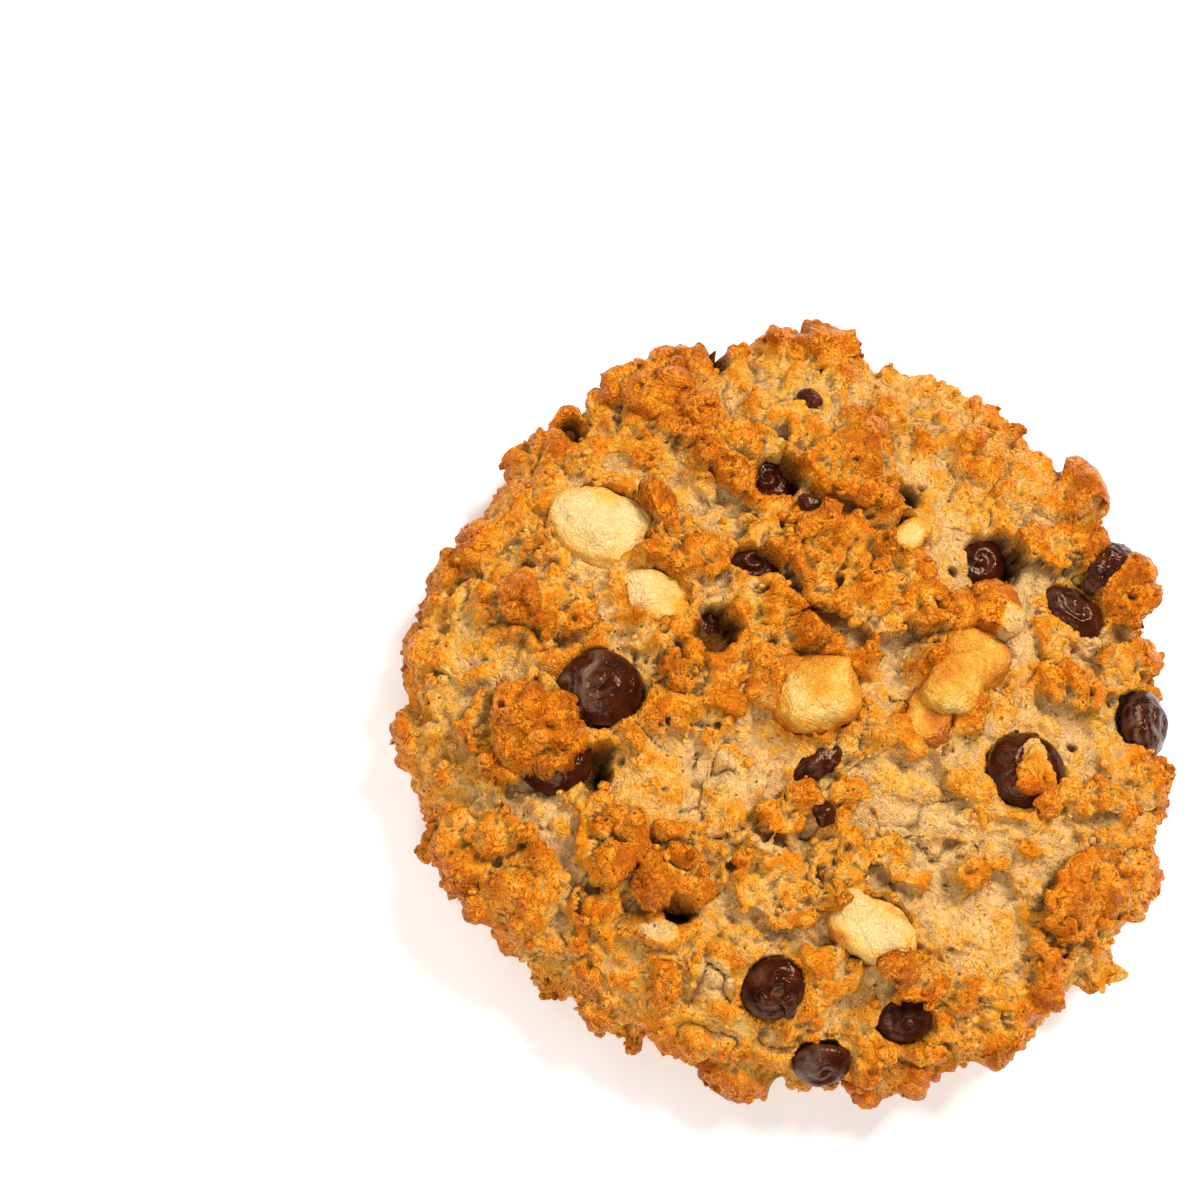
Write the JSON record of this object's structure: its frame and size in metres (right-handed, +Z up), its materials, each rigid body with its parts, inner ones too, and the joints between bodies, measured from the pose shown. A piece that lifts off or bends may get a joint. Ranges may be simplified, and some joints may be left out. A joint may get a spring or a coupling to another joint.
{
  "type": "chocolate chip drop cookie",
  "caption": "thick round drop cookie of craggy golden dough with dark chips and pale chunks baked into its top and flank, on a flat base",
  "frame": {"origin": "on the flat base, under the middle of the round outline", "axes": "+Z up through the crown, -Y towards the viewer of the picture, +X to that viewer's right"},
  "size_m": [0.0896, 0.0891, 0.0223],
  "materials": {
    "dough": "rough golden-brown baked crust with paler crumb in its low places",
    "chip": "glossy dark chocolate with a little grey bloom",
    "chunk": "smooth satin cream, browned to gold where it stands high"
  },
  "bodies": {
    "root": {"dough": "dough", "chip_01": "chip", "chip_02": "chip", "chip_03": "chip", "chip_04": "chip", "chip_05": "chip", "chip_06": "chip", "chip_07": "chip", "chip_08": "chip", "chip_09": "chip", "chip_10": "chip", "chip_11": "chip", "chip_12": "chip", "chunk_1": "chunk", "chunk_2": "chunk", "chunk_3": "chunk", "chunk_4": "chunk", "chunk_5": "chunk", "chunk_6": "chunk", "chunk_7": "chunk"}
  },
  "joints": []
}
